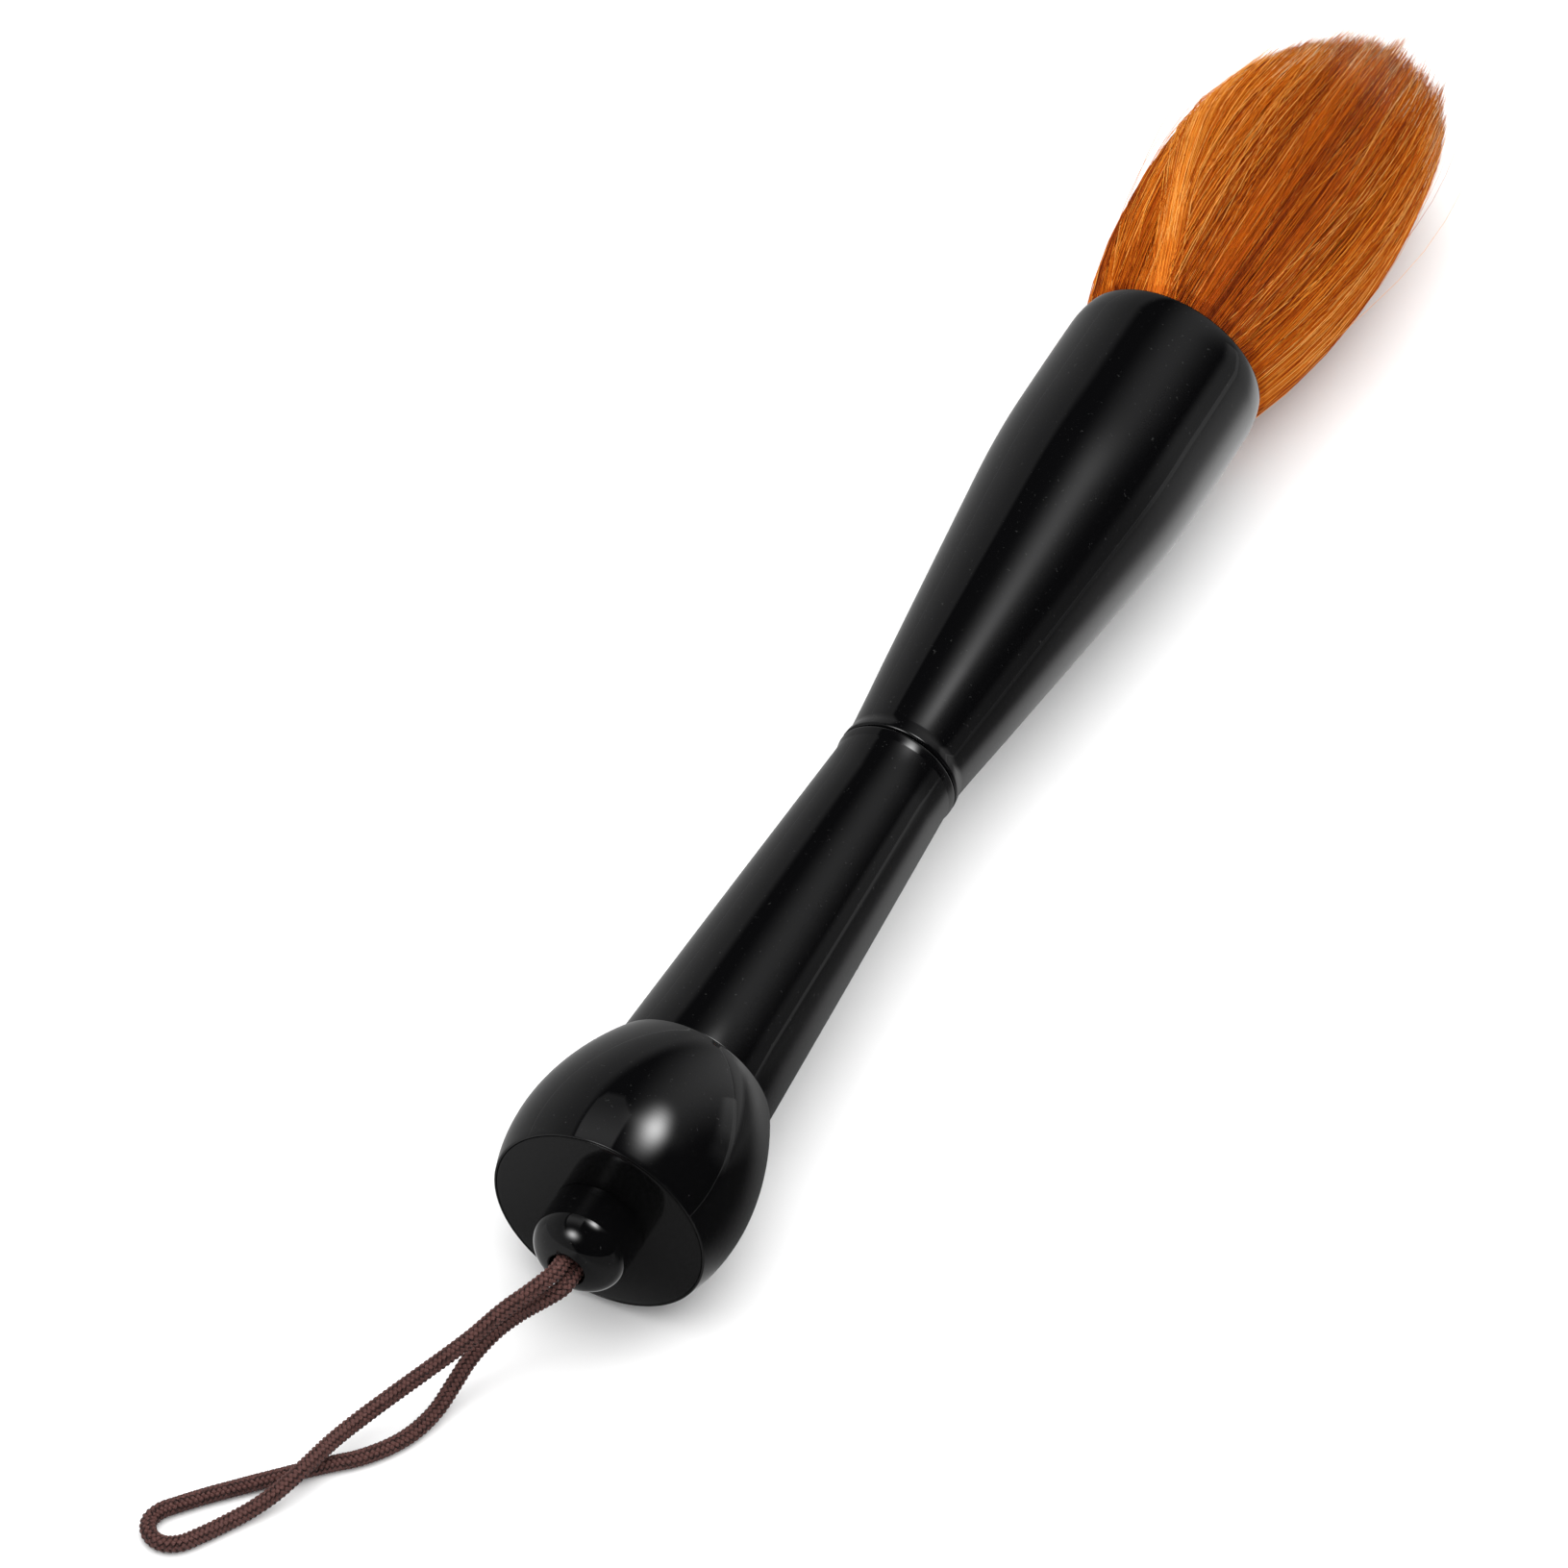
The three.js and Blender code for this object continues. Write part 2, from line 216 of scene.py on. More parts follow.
def lacquer_material():
    """Deep black polish: faint hand-rubbed haze, soft waves, turning marks and a little dust."""
    material, tree, shader = new_material(
        "black_lacquer", (0.0022, 0.0022, 0.0024), 0.06, IOR=1.45, Specular_IOR_Level=0.42
    )
    dust = noise(tree, coordinates(tree), 1500.0, 2.0, 0.6)
    paint(tree, shader, dust, [(0.68, (0.0019, 0.0019, 0.0021)), (0.76, (0.018, 0.018, 0.018))])
    haze = noise(tree, coordinates(tree), 90.0, 4.0, 0.6)
    tree.links.new(to_range(tree, haze, 0.03, 0.075, 0.35, 0.7), shader.inputs["Roughness"])
    waves = bump(tree, shader, noise(tree, coordinates(tree, (1.0, 0.35, 1.0)), 55.0), 0.25, 0.00008)
    marks = noise(tree, coordinates(tree, (0.2, 60.0, 0.2)), 45.0, 3.0)
    bump(tree, shader, marks, 0.05, 0.00002, waves)
    return material


def disc_material():
    """The butt disc's duller black, with a fine pale grain."""
    material, tree, shader = new_material(
        "black_satin", (0.004, 0.004, 0.0045), 0.05, IOR=1.45, Specular_IOR_Level=0.24
    )
    grain = noise(tree, coordinates(tree), 2600.0, 3.0, 0.7)
    paint(tree, shader, grain, [(0.42, (0.0012, 0.0012, 0.0013)), (0.78, (0.0060, 0.0060, 0.0063))])
    tree.links.new(to_range(tree, grain, 0.035, 0.07), shader.inputs["Roughness"])
    bump(tree, shader, grain, 0.08, 0.00002)
    return material


def wood_material():
    material, tree, shader = new_material("dowel_wood", (0.42, 0.25, 0.11), 0.7)
    grain = noise(tree, coordinates(tree, (12.0, 1.0, 12.0)), 60.0, 5.0, 0.6)
    paint(tree, shader, grain, [(0.3, (0.30, 0.16, 0.065)), (0.7, (0.50, 0.31, 0.15))])
    bump(tree, shader, grain, 0.3, 0.0001)
    return material


def resin_material():
    material, tree, shader = new_material("root_resin", (0.10, 0.04, 0.015), 0.3)
    blots = noise(tree, coordinates(tree), 300.0, 3.0)
    paint(tree, shader, blots, [(0.3, (0.06, 0.022, 0.008)), (0.8, (0.17, 0.075, 0.03))])
    bump(tree, shader, blots, 0.4, 0.0002)
    return material


def thread_material():
    material, tree, shader = new_material("binding_thread", (0.68, 0.62, 0.48), 0.8)
    twist = noise(tree, coordinates(tree), 1500.0, 3.0)
    paint(tree, shader, twist, [(0.3, (0.50, 0.44, 0.32)), (0.7, (0.78, 0.72, 0.58))])
    bump(tree, shader, twist, 0.5, 0.0001)
    return material


def floor_material():
    material, tree, shader = new_material(
        "pale_floor", (0.86, 0.86, 0.86), 0.8, Specular_IOR_Level=0.0
    )
    grain = noise(tree, coordinates(tree), 40.0, 2.0)
    paint(tree, shader, grain, [(0.3, (0.85, 0.85, 0.85)), (0.7, (0.87, 0.87, 0.87))])
    return material


HAIR_SHADES = 12
HAIR_STOPS = [
    (0.0, (0.13, 0.016, 0.001)),
    (0.35, (0.41, 0.068, 0.002)),
    (0.6, (0.60, 0.145, 0.006)),
    (0.8, (0.78, 0.32, 0.045)),
    (1.0, (0.95, 0.78, 0.46)),
]


def blend_stops(stops, position):
    """The colour at a position between the stops."""
    places = [stop for stop, _ in stops]
    return tuple(np.interp(position, places, [c[i] for _, c in stops]) for i in range(3))


def hair_materials():
    """One material for each shade, with the gloss of the hair's scales varied along it."""
    made = []
    for shade in range(HAIR_SHADES):
        color = blend_stops(HAIR_STOPS, shade / (HAIR_SHADES - 1))
        material, tree, shader = new_material(
            f"hair_shade_{shade}", color, 0.5, Specular_IOR_Level=0.07
        )
        scales = noise(tree, coordinates(tree, (1.0, 0.2, 1.0)), 900.0, 2.0)
        tree.links.new(to_range(tree, scales, 0.34, 0.6), shader.inputs["Roughness"])
        made.append(material)
    return made


def yarn_materials():
    """Brown nylon yarn in four shades of painted shade and painted light: darker where sunk in the
    weave, mid where rising and lighter where proud of it, then the core between, painted near
    black as the shade in the gaps.
    """
    shades = [
        (0.012, 0.0042, 0.0035),
        (0.034, 0.0130, 0.0108),
        (0.078, 0.0320, 0.0275),
        (0.003, 0.0010, 0.0008),
    ]
    made = []
    for i, color in enumerate(shades):
        material, tree, shader = new_material(
            f"cord_yarn_{i}", color, 0.62,
            Specular_IOR_Level=0.25, Sheen_Weight=0.05, Sheen_Roughness=0.4,
        )
        filament = noise(tree, coordinates(tree), 5000.0, 2.0)
        tree.links.new(to_range(tree, filament, 0.5, 0.75), shader.inputs["Roughness"])
        bump(tree, shader, filament, 0.35, 0.00004)
        made.append(material)
    return made


# ------------------------------------------------------------------ mesh helpers


def new_piece(name, points, faces, materials, body=BRUSH):
    """A mesh object from points in metres in the frame; body None leaves it unattached."""
    mesh = bpy.data.meshes.new(name)
    mesh.from_pydata([tuple(p) for p in points], [], faces)
    for material in materials:
        mesh.materials.append(material)
    mesh.polygons.foreach_set("use_smooth", [True] * len(mesh.polygons))
    mesh.update()
    piece = bpy.data.objects.new(name, mesh)
    bpy.context.collection.objects.link(piece)
    if body is not None:
        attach(piece, body)
    return piece


def curve(*controls, steps=14):
    """A Bezier curve of any degree through its first and last control, without the first."""
    degree = len(controls) - 1
    share = np.linspace(0.0, 1.0, steps + 1)[1:, None]
    points = np.zeros((steps, 2))
    for i, control in enumerate(controls):
        weight = math.comb(degree, i) * share**i * (1 - share) ** (degree - i)
        points += weight * np.array(control, float)
    return [tuple(p) for p in points]


def fillet(before, corner, after, radius, steps=5):
    """A rounded corner: a short curve that cuts the corner radius away on each side."""
    corner = np.array(corner, float)
    ends = []
    for other in (before, after):
        way = np.array(other, float) - corner
        ends.append(corner + way / np.linalg.norm(way) * radius)
    return [tuple(ends[0])] + curve(ends[0], corner, ends[1], steps=steps)


AROUND, SHARP_DEG = 192, 40.0


def revolve(name, outline, material, around=AROUND):
    """A closed outline of (radius, along) in mm turned about the brush's axis. Points on the
    axis become poles, and an outline that doesn't touch it closes on itself."""
    turns = np.linspace(0.0, 2 * math.pi, around, endpoint=False)
    points, rows = [], []
    for radius, along in outline:
        if radius < 1e-6:
            rows.append([len(points)])
            points.append((0.0, along, 0.0))
            continue
        rows.append(list(range(len(points), len(points) + around)))
        points += [(radius * math.cos(t), along, radius * math.sin(t)) for t in turns]
    faces = []
    pairs = list(zip(rows, rows[1:]))
    if len(rows[0]) > 1:
        pairs.append((rows[-1], rows[0]))
    for low, high in pairs:
        for i in range(around):
            j = (i + 1) % around
            if len(low) == 1 and len(high) == 1:
                continue
            if len(low) == 1:
                faces.append((low[0], high[j], high[i]))
            elif len(high) == 1:
                faces.append((low[i], low[j], high[0]))
            else:
                faces.append((low[i], low[j], high[j], high[i]))
    piece = new_piece(name, place(points), faces, [material])
    piece.data.set_sharp_from_angle(angle=math.radians(SHARP_DEG))
    return piece


# ------------------------------------------------------------------ cord

CORD_MM = 2.75
CORD_EXIT = (0.0, -11.4, 0.0)
UPPER_END, LOWER_END = (-0.8, 1.1), (0.9, -1.2)  # (x, height) of the two ends in the hole
TAIL_MM = 18.0  # how far each end runs on into the peg, to the knot
AXIS_HEIGHT_MM = AXIS_Z / MM
YARNS_EACH_WAY, YARN_LEAD = 6, 5.2  # how many wind each way, and how far one turn takes
YARN_RADIUS, YARN_WAVE = 0.99, 0.18  # from the cord's middle, and how far it dips and rises
YARN_HALF_WIDTH, YARN_HALF_THICKNESS, YARN_CORNERS = 0.33, 0.21, 6
CORE_RADIUS, CORE_CORNERS, CORE_EVERY = 0.82, 8, 4
# The yarn materials carry painted shade and painted light: the sunk yarn darker, the proud yarn
# lighter, and the core darkest, as the shade between the yarns.
SUNK_SHADED, RISING, PROUD_LIT, CORE = range(4)  # the yarn materials, in order

# The loop's centreline: x, y from the disc's face, height above the floor.
CORD_ROUTE = [
    (UPPER_END[0], CORD_EXIT[1], AXIS_HEIGHT_MM + UPPER_END[1]),
    (-0.9, -12.8, 20.4),
    (-2.3, -16.4, 19.8),
    (-5.3, -21.0, 17.8),
    (-8.8, -25.9, 14.2),
    (-13.3, -30.6, 9.8),
    (-17.1, -34.9, 6.4),
    (-19.9, -39.8, 4.7),
    (-21.8, -45.2, 4.3),
    (-22.9, -50.7, 4.5),
    (-24.0, -54.6, 4.1),
    (-25.5, -57.9, 3.0),
    (-27.6, -61.4, 1.9),
    (-30.0, -65.2, 1.45),
    (-32.2, -68.8, 1.4),
    (-34.4, -71.8, 1.4),
    (-36.8, -73.0, 1.4),
    (-39.2, -72.3, 1.4),
    (-40.5, -70.0, 1.4),
    (-39.9, -67.4, 1.4),
    (-38.2, -65.2, 1.4),
    (-36.3, -63.0, 1.4),
    (-34.3, -60.8, 1.4),
    (-31.8, -58.2, 1.4),
    (-28.7, -55.0, 1.4),
    (-24.6, -50.9, 1.4),
    (-21.2, -47.6, 1.4),
    (-18.4, -45.1, 1.4),
    (-15.9, -42.1, 1.4),
    (-14.0, -39.0, 1.4),
    (-12.6, -35.6, 1.5),
    (-11.5, -31.4, 2.2),
    (-10.9, -26.9, 3.8),
    (-10.1, -22.9, 6.0),
    (-8.0, -19.3, 9.2),
    (-5.2, -16.9, 12.4),
    (-2.0, -15.4, 15.6),
    (0.3, -13.7, 17.6),
    (0.8, -12.6, 18.0),
    (LOWER_END[0], CORD_EXIT[1], AXIS_HEIGHT_MM + LOWER_END[1]),
]


def smooth_line(points, step):
    """A centripetal Catmull-Rom curve through points, resampled every step."""
    points = np.asarray(points, float)
    padded = np.vstack([2 * points[0] - points[1], points, 2 * points[-1] - points[-2]])
    fine = []
    for p0, p1, p2, p3 in zip(padded, padded[1:], padded[2:], padded[3:]):
        knots = [0.0]
        for a, b in ((p0, p1), (p1, p2), (p2, p3)):
            knots.append(knots[-1] + np.linalg.norm(b - a) ** 0.5)
        t0, t1, t2, t3 = knots
        t = np.linspace(t1, t2, 24, endpoint=False)[:, None]
        a1 = (t1 - t) / (t1 - t0) * p0 + (t - t0) / (t1 - t0) * p1
        a2 = (t2 - t) / (t2 - t1) * p1 + (t - t1) / (t2 - t1) * p2
        a3 = (t3 - t) / (t3 - t2) * p2 + (t - t2) / (t3 - t2) * p3
        b1 = (t2 - t) / (t2 - t0) * a1 + (t - t0) / (t2 - t0) * a2
        b2 = (t3 - t) / (t3 - t1) * a2 + (t - t1) / (t3 - t1) * a3
        fine.append((t2 - t) / (t2 - t1) * b1 + (t - t1) / (t2 - t1) * b2)
    fine = np.vstack(fine + [points[-1:]])
    run = np.concatenate([[0.0], np.cumsum(np.linalg.norm(np.diff(fine, axis=0), axis=1))])
    count = int(round(run[-1] / step))
    wanted = np.linspace(0.0, run[-1], count + 1)
    return np.stack([np.interp(wanted, run, fine[:, i]) for i in range(3)], axis=1), run[-1]


def side_vectors(line):
    """Two unit vectors across the line at each point, carried along it without twist."""
    along = np.gradient(line, axis=0)
    along /= np.linalg.norm(along, axis=1)[:, None]
    first = np.cross(along[0], (0.0, 0.0, 1.0))
    first /= np.linalg.norm(first)
    sides = [first]
    for way in along[1:]:
        side = sides[-1] - way * (sides[-1] @ way)
        sides.append(side / np.linalg.norm(side))
    sides = np.array(sides)
    return sides, np.cross(along, sides)


def tube(line, across, outward, half_width, half_thickness, corners, start=0):
    """Points and faces of a closed tube along line, with an oval section."""
    angles = np.linspace(0.0, 2 * math.pi, corners, endpoint=False)
    rings = (
        line[:, None, :]
        + half_width * np.cos(angles)[None, :, None] * across[:, None, :]
        + half_thickness * np.sin(angles)[None, :, None] * outward[:, None, :]
    )
    count = len(line)
    faces = []
    for i in range(count - 1):
        a, b = start + i * corners, start + (i + 1) * corners
        for j in range(corners):
            k = (j + 1) % corners
            faces.append((a + j, a + k, b + k, b + j))
    faces.append(tuple(start + j for j in reversed(range(corners))))
    last = start + (count - 1) * corners
    faces.append(tuple(last + j for j in range(corners)))
    return rings.reshape(-1, 3), faces


def cord_line(step):
    """The cord's whole centreline, with both ends run on into the peg, and its length."""
    route = [(x, y, z - AXIS_HEIGHT_MM) for x, y, z in CORD_ROUTE]
    tails = [
        [(x, CORD_EXIT[1] + TAIL_MM * share, z) for share in (1.0, 0.66, 0.33)]
        for x, z in (UPPER_END, LOWER_END)
    ]
    return smooth_line(tails[0] + route + tails[1][::-1], step)


def braid_yarn(line, side, other, run, way, number, start):
    """One yarn's points, faces and shades. It winds round the line and passes over and under."""
    turn = way * 2 * math.pi * run / YARN_LEAD + 2 * math.pi * number / YARNS_EACH_WAY
    height = way * np.cos(2 * math.pi * YARNS_EACH_WAY * run / YARN_LEAD)
    radius = YARN_RADIUS + YARN_WAVE * height
    outward = np.cos(turn)[:, None] * side + np.sin(turn)[:, None] * other
    yarn = line + radius[:, None] * outward
    across = np.cross(np.gradient(yarn, axis=0), outward)
    across /= np.linalg.norm(across, axis=1)[:, None]
    points, faces = tube(
        yarn, across, outward, YARN_HALF_WIDTH, YARN_HALF_THICKNESS, YARN_CORNERS, start
    )
    # Painted shade and painted light: each stretch of yarn takes a darker material where it dips
    # under and a lighter one where it rides over.
    at_face = height[:-1]
    painted_shade_levels = np.where(at_face > 0.25, PROUD_LIT, np.where(at_face > -0.35, RISING, SUNK_SHADED))
    shades = list(np.repeat(painted_shade_levels, YARN_CORNERS)) + [RISING, RISING]
    return points, faces, shades


def make_cord(yarns):
    """Twelve yarns braided over a core, six each way round."""
    line, length = cord_line(step=0.17)
    side, other = side_vectors(line)
    run = np.linspace(0.0, length, len(line))
    points, faces, shades = [], [], []
    start = 0
    for way in (1, -1):
        for number in range(YARNS_EACH_WAY):
            yarn = braid_yarn(line, side, other, run, way, number, start)
            points.append(yarn[0])
            faces += yarn[1]
            shades += yarn[2]
            start += len(yarn[0])
    thin = slice(None, None, CORE_EVERY)
    core_points, core_faces = tube(
        line[thin], side[thin], other[thin], CORE_RADIUS, CORE_RADIUS, CORE_CORNERS, start
    )
    points.append(core_points)
    faces += core_faces
    # The core takes the darkest material: painted shade in the gaps of the braid.
    shades += [CORE] * len(core_faces)
    cord = new_piece("braided_cord", place(np.vstack(points)), faces, yarns, body=None)
    cord.data.polygons.foreach_set("material_index", shades)
    knot = make_knot(yarns[RISING])
    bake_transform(cord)
    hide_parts("cord_loop")


def make_knot(material):
    """The stopper knot behind the peg's shank: one overhand turn, drawn tight."""
    middle, size, depth, corners = 10.2, 0.9, 1.3, 12
    turn = np.linspace(0.0, 2 * math.pi, 96, endpoint=False)
    x = size * (np.sin(turn) + 2 * np.sin(2 * turn))
    z = size * (np.cos(turn) - 2 * np.cos(2 * turn))
    loop = np.stack([x, middle + depth * np.sin(3 * turn), z], axis=1)
    along = np.roll(loop, -1, axis=0) - np.roll(loop, 1, axis=0)
    along /= np.linalg.norm(along, axis=1)[:, None]
    side = np.cross(along, (0.0, 1.0, 0.0))
    side /= np.linalg.norm(side, axis=1)[:, None]
    radius = CORD_MM * 0.46
    points, faces = tube(loop, side, np.cross(along, side), radius, radius, corners)
    faces = faces[:-2]  # the loop closes on itself, so it needs no end caps
    last = (len(loop) - 1) * corners
    faces += [
        (last + j, last + (j + 1) % corners, (j + 1) % corners, j) for j in range(corners)
    ]
    knot = new_piece("cord_stopper_knot", place(points), faces, [material])
    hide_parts("cord_knot")
    return knot


# ------------------------------------------------------------------ lacquered turnings

BULB_MOUTH, BULB_RADIUS, BULB_NECK, BULB_END = 17.75, 19.3, 13.75, 30.0
DISC_RADIUS, SEAT_RADIUS, DISC_THICKNESS = 17.3, 17.42, 2.6
PEG_RADIUS, PEG_STANDS, DOME_HEIGHT, HOLE_RADIUS = 7.6, 6.1, 5.3, 3.0
SHANK_RADIUS, SHANK_END = 5.0, 5.2
HANDLE_BUTT, HANDLE_NECK, TENON_RADIUS, TENON_START = 13.25, 9.72, 8.7, 17.0
NECK, LIP_WIDTH, LIP_RISE, GROOVE_RADIUS, SEAM = 100.0, 1.3, 0.22, 9.15, 0.06
DOWEL_BORE, DOWEL_REACH = 5.3, 16.3
CUP_RADIUS, CUP_MOUTH_RADIUS, CUP_MOUTH, CUP_RIM = 16.06, 15.2, 192.4, 0.5
SOCKET_BOTTOM, SOCKET_RADIUS = 164.2, 13.3


def make_bulb(lacquer):
    """An egg cut off flat, bored for the handle's tenon, with a seat and thin lip for the disc."""
    lip, bore, seat_end = 0.14, 9.0, DISC_THICKNESS + 0.3
    outline = [(SEAT_RADIUS, seat_end)]
    outline += fillet((SEAT_RADIUS, 2.0), (SEAT_RADIUS, 0.0), (18.0, 0.0), lip)
    outline += fillet((SEAT_RADIUS, 0.0), (BULB_MOUTH, 0.0), (18.6, 2.6), lip)
    widest, neck = (BULB_RADIUS, 10.0), (BULB_NECK + 0.25, BULB_END - 0.5)
    outline += curve((BULB_MOUTH + 0.05, 0.15), (18.8, 3.2), (BULB_RADIUS, 6.2), widest)
    outline += curve(widest, (BULB_RADIUS, 16.3), (17.3, 23.3), neck, steps=22)
    outline += fillet((14.6, 28.3), (BULB_NECK, BULB_END), (bore, BULB_END), 0.35)
    outline += [(bore + 0.3, BULB_END), (bore, BULB_END - 0.3), (bore, seat_end)]
    bulb = revolve("butt_bulb", outline, lacquer)
    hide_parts("bulb")


def make_disc(satin):
    """The disc that closes the bulb, its edges broken so that a fine groove shows round it."""
    hole = SHANK_RADIUS + 0.15
    outline = fillet((hole, 2.0), (hole, 0.0), (8.0, 0.0), 0.1, steps=2)
    outline += [(r, 0.0) for r in np.linspace(7.0, 16.6, 7)]
    outline += fillet((16.0, 0.0), (DISC_RADIUS, 0.0), (DISC_RADIUS, 1.0), 0.16)
    outline += [(DISC_RADIUS, DISC_THICKNESS), (hole, DISC_THICKNESS)]
    disc = revolve("butt_disc", outline, satin)
    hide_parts("end_disc")


def make_peg(lacquer):
    """The domed collar that the cord comes out of, on a shank through the disc."""
    rim_angle = math.acos(HOLE_RADIUS / PEG_RADIUS)
    dome = [
        (PEG_RADIUS * math.cos(a), -PEG_STANDS - DOME_HEIGHT * math.sin(a))
        for a in np.linspace(rim_angle - 0.06, 0.1, 26)
    ]
    rim = -PEG_STANDS - DOME_HEIGHT * math.sin(rim_angle)
    outline = [(HOLE_RADIUS, SHANK_END)]
    outline += fillet((HOLE_RADIUS, -6.0), (HOLE_RADIUS, rim), dome[0], 0.28)
    outline += dome
    outline += fillet(dome[-1], (PEG_RADIUS, -PEG_STANDS), (PEG_RADIUS, -2.0), 0.25)
    outline += [(PEG_RADIUS, y) for y in (-4.5, -3.0, -1.5)]
    outline += fillet((PEG_RADIUS, -1.0), (PEG_RADIUS, -0.04), (6.0, -0.04), 0.12)
    outline += [(SHANK_RADIUS, -0.04), (SHANK_RADIUS, SHANK_END)]
    peg = revolve("peg_collar", outline, lacquer, around=96)
    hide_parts("hanging_peg")


def neck_lip(side):
    """The rounded lip on one side of the neck's groove, from the body to the groove."""
    lip = HANDLE_NECK + LIP_RISE
    away = [LIP_WIDTH + 0.7, LIP_WIDTH, LIP_WIDTH / 2, SEAM]
    y = [NECK + side * distance for distance in away]
    points = curve((HANDLE_NECK - 0.02, y[0]), (lip - 0.08, y[1]), (lip, y[2]), steps=7)
    points += curve((lip, y[2]), (lip + 0.08, NECK + side * 0.12), (GROOVE_RADIUS, y[3]), steps=9)
    return points


def make_handle(lacquer):
    """A taper between the bulb and the neck, straight but for a very slight swell."""
    shoulder = BULB_END + 0.05
    outline = [(0.0, TENON_START), (8.0, TENON_START), (TENON_RADIUS, TENON_START + 0.7)]
    outline += [(TENON_RADIUS, shoulder)]
    neck_end = NECK - LIP_WIDTH - 0.7
    outline += fillet((9.0, shoulder), (HANDLE_BUTT, shoulder), (HANDLE_NECK, neck_end), 0.3)
    for share in np.linspace(0.1, 1.0, 10):
        bow = 0.05 * math.sin(math.pi * share)
        radius = HANDLE_BUTT + (HANDLE_NECK - 0.02 - HANDLE_BUTT) * share + bow
        outline.append((radius, shoulder + (neck_end - shoulder) * share))
    outline += neck_lip(-1)
    bore_end = NECK - DOWEL_REACH
    outline += [(DOWEL_BORE, NECK - SEAM), (DOWEL_BORE, bore_end), (0.0, bore_end)]
    handle = revolve("tapered_handle", outline, lacquer)
    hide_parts("handle")


def make_cup(lacquer):
    """The head cup: a long trumpet that swells, then turns in a little to a thin rim."""
    bore_end = NECK + DOWEL_REACH
    outline = [(0.0, bore_end), (DOWEL_BORE, bore_end), (DOWEL_BORE, NECK + SEAM)]
    outline += neck_lip(1)[::-1]
    flare_start, flare_end, widest = (11.05, 116.0), (15.1, 154.5), (CUP_RADIUS, 171.0)
    outline += curve((9.6, 102.15), (9.75, 104.6), flare_start, steps=16)
    for share in (0.2, 0.4, 0.6, 0.8, 1.0):
        outline.append(tuple(a + (b - a) * share for a, b in zip(flare_start, flare_end)))
    outline += curve(flare_end, (CUP_RADIUS, 163.5), widest)
    turn_in, rim = (15.95, 188.4), (CUP_MOUTH_RADIUS + 0.12, CUP_MOUTH - 0.12)
    outline += curve(widest, (CUP_RADIUS, 181.0), turn_in)
    outline += curve(turn_in, (15.85, 190.8), rim)
    inside = (CUP_MOUTH_RADIUS - CUP_RIM, CUP_MOUTH - 0.2)
    outline += curve(rim, (CUP_MOUTH_RADIUS - 0.05, CUP_MOUTH + 0.06), inside, steps=6)
    outline += [(SOCKET_RADIUS + 0.45, 175.0), (SOCKET_RADIUS, SOCKET_BOTTOM), (0.0, SOCKET_BOTTOM)]
    cup = revolve("hair_cup", outline, lacquer)
    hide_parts("head_cup")


# ------------------------------------------------------------------ hair

ROOT, TIP, BELLY = 186.0, 262.4, 225.0  # along the axis, the belly being the widest place
TUFT_RADIUS = 19.3
SWELL, TAPER, TAPER_LENGTH = 4.6, 6.4, 36.0  # thinner by so much at the cup and near the tips
DROP, LONGER_RIGHT, LONGER_ON_TOP = 15.5, 5.5, 3.5  # how far short of TIP the skin's hairs end
LEFT_TAPER, LEFT_FROM, LEFT_TO = 0.10, 230.0, 248.0  # the left side draws in over this stretch
STRAND_RINGS, STRAND_SIDES = 10, 3
LOCKS, TUFT_PIECES, HAIRS_IN_PIECE = 420, 6, 3600
SKIN_LOCKS = 0.66  # the share of the locks that lie at the tuft's skin
CROSSING_HAIRS, LOOSE_HAIRS, ODD_HAIRS = 0.13, 0.12, 0.12  # shares of the hairs
ODD_SHADE, PALEST = 0.25, 0.85  # an odd hair's step in shade, and the palest before the tip
FLOOR_LIMIT = 19.22  # how far below the axis a hair may lie
LEAN = 1.9  # how far the tips lean to the right
TOP_ANGLE = 1.2  # round the axis from the right: the line that faces the camera


def flow_radius(y):
    """The radius of the tuft's outermost hair: a quick swell out of the cup, then a slow taper."""
    before = np.clip((BELLY - y) / (BELLY - CUP_MOUTH), 0.0, 1.3)
    after = np.clip((y - BELLY) / TAPER_LENGTH, 0.0, 1.3)
    return TUFT_RADIUS - SWELL * before**2.2 - TAPER * after**1.8


def smooth_step(low, high, value):
    """0 below low and 1 above high, with a smooth rise between."""
    share = np.clip((value - low) / (high - low), 0.0, 1.0)
    return share * share * (3 - 2 * share)


def quad_mesh(name, points, quads, triangles, materials, shades):
    """A mesh built from whole arrays, for pieces too big to build face by face."""
    mesh = bpy.data.meshes.new(name)
    mesh.vertices.add(len(points))
    mesh.vertices.foreach_set("co", np.asarray(points, np.float32).ravel())
    corners = np.concatenate([quads.ravel(), triangles.ravel()]).astype(np.int32)
    starts = np.concatenate(
        [np.arange(len(quads)) * 4, quads.size + np.arange(len(triangles)) * 3]
    ).astype(np.int32)
    mesh.loops.add(len(corners))
    mesh.loops.foreach_set("vertex_index", corners)
    mesh.polygons.add(len(starts))
    mesh.polygons.foreach_set("loop_start", starts)
    for material in materials:
        mesh.materials.append(material)
    mesh.polygons.foreach_set("material_index", np.asarray(shades, np.int32))
    mesh.polygons.foreach_set("use_smooth", np.ones(len(starts), bool))
    mesh.update(calc_edges=True)
    mesh.validate()
    piece = bpy.data.objects.new(name, mesh)
    bpy.context.collection.objects.link(piece)
    return piece


